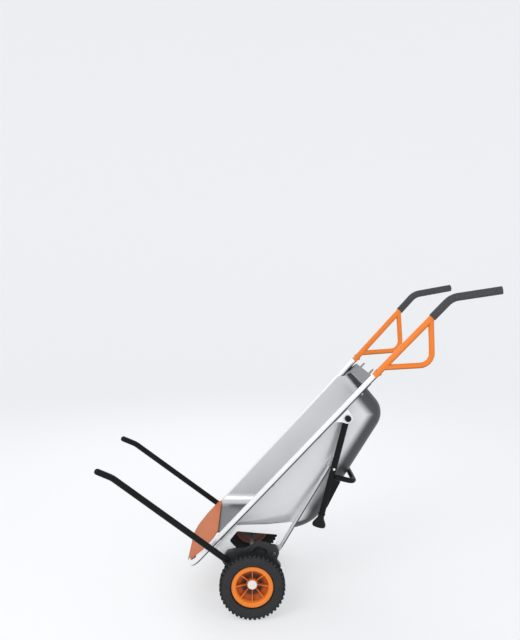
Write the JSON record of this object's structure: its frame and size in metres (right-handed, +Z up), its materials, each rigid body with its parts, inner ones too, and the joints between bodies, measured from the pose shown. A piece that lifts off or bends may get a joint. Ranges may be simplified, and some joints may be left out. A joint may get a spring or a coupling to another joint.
{
  "type": "garden cart",
  "caption": "Two-wheeled garden cart with a steel tub, swing-down legs, a folding nose plate and a pair of swinging pot arms, standing tilted on its wheels.",
  "frame": {"origin": "middle of the underside of the whole cart's box, on the ground", "axes": "+Z up, +X towards the handles, +Y across the cart along the wheel axle"},
  "size_m": [1.5726, 0.628, 1.3004],
  "materials": {
    "tyre": "matt black rubber with worn tread",
    "hub": "moulded orange plastic",
    "cap": "off-white moulded cap",
    "bush": "black nylon",
    "grip": "dark grey soft grip",
    "handle": "orange powder coat",
    "nose_plate": "orange powder coat, scuffed",
    "tub": "silver satin paint",
    "frame_tube": "silver powder coat",
    "frame_plate": "pale silver powder coat",
    "black_casting": "cast, black powder coat",
    "black_paint": "black satin paint",
    "black_plastic": "black moulded plastic",
    "axle_steel": "plain turned steel",
    "zinc": "zinc plated",
    "pin": "bright plated"
  },
  "bodies": {
    "frame": {"arm_pivot_left": "zinc", "arm_pivot_right": "zinc", "axle": "axle_steel", "axle_carrier_left": "black_casting", "axle_carrier_right": "black_casting", "axle_retainers": "zinc", "axle_spacer_left": "black_plastic", "axle_spacer_right": "black_plastic", "carrier_bolts": "zinc", "grip_left": "grip", "grip_right": "grip", "gusset_left": "frame_plate", "gusset_right": "frame_plate", "handle_bolts": "zinc", "handle_loop_left": "handle", "handle_loop_right": "handle", "handle_tube_left": "handle", "handle_tube_right": "handle", "leg_bracket_left": "frame_plate", "leg_bracket_right": "frame_plate", "leg_pivot_left": "black_plastic", "leg_pivot_right": "black_plastic", "rail_tube": "frame_tube", "strut_left": "frame_tube", "strut_right": "frame_tube", "strut_screws": "zinc", "tub": "tub", "tub_screws": "zinc"},
    "wheel_left": {"tyre_left": "tyre", "wheel_hub_left": "hub", "wheel_bush_left": "bush", "hub_cap_left": "cap"},
    "pot_arm_left": {"arm_left": "black_paint", "arm_plug_left": "black_plastic"},
    "wheel_right": {"tyre_right": "tyre", "wheel_hub_right": "hub", "wheel_bush_right": "bush", "hub_cap_right": "cap"},
    "pot_arm_right": {"arm_right": "black_paint", "arm_plug_right": "black_plastic"},
    "legs": {"leg_crossbar": "black_paint", "leg_foot_left": "black_plastic", "leg_foot_right": "black_plastic", "leg_stop_pins": "pin", "leg_tube_left": "black_paint", "leg_tube_right": "black_paint", "leg_web_left": "black_paint", "leg_web_right": "black_paint"},
    "nose_plate": {"footplate": "nose_plate"}
  },
  "joints": [
    {"name": "wheel_left_spin", "type": "hinge", "parent": "frame", "child": "wheel_left", "pos_m": [-0.16677, 0.285, 0.13], "axis": [0, 1, 0], "continuous": true},
    {"name": "wheel_right_spin", "type": "hinge", "parent": "frame", "child": "wheel_right", "pos_m": [-0.16677, -0.285, 0.13], "axis": [0, 1, 0], "continuous": true},
    {"name": "legs_swing", "type": "hinge", "parent": "frame", "child": "legs", "pos_m": [0.21032, 0, 0.77924], "axis": [0, -1, 0], "range_deg": [0, 57]},
    {"name": "pot_arm_left_swing", "type": "hinge", "parent": "frame", "child": "pot_arm_left", "pos_m": [-0.25346, 0.243, 0.20126], "axis": [0, 1, 0], "range_deg": [0, 96]},
    {"name": "pot_arm_right_swing", "type": "hinge", "parent": "frame", "child": "pot_arm_right", "pos_m": [-0.25346, -0.243, 0.20126], "axis": [0, 1, 0], "range_deg": [0, 96]},
    {"name": "footplate_fold", "type": "hinge", "parent": "frame", "child": "nose_plate", "pos_m": [-0.419, 0, 0.16011], "axis": [0, -1, 0], "range_deg": [0, 100]}
  ]
}
